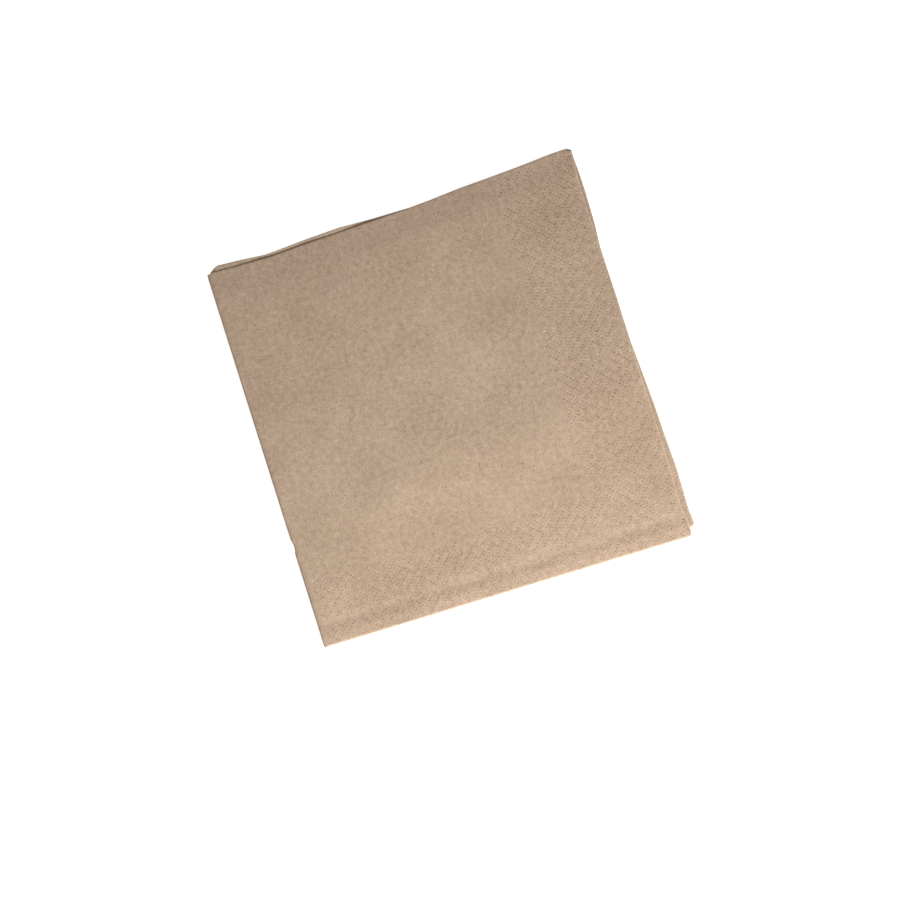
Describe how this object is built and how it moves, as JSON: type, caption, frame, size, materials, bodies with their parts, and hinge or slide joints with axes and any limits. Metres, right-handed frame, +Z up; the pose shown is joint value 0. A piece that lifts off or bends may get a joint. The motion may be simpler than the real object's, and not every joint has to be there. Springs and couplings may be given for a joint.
{
  "type": "paper napkin",
  "caption": "Square kraft tissue napkin folded in quarters and lying flat, with folded far and left edges, cut near and right edges and a dotted border, for wiping hands at table.",
  "frame": {"origin": "middle of the bottom of the napkin's box, on the face that it lies on", "axes": "+X from the second fold to the side cut edge, +Y from the lower cut edge to the first fold, +Z up through the layers"},
  "size_m": [0.1666, 0.1734, 0.0025],
  "materials": {
    "kraft_tissue": "unbleached brown two-ply tissue, matt, with a dotted embossed border"
  },
  "bodies": {
    "root": {"napkin": "kraft_tissue"}
  },
  "joints": []
}
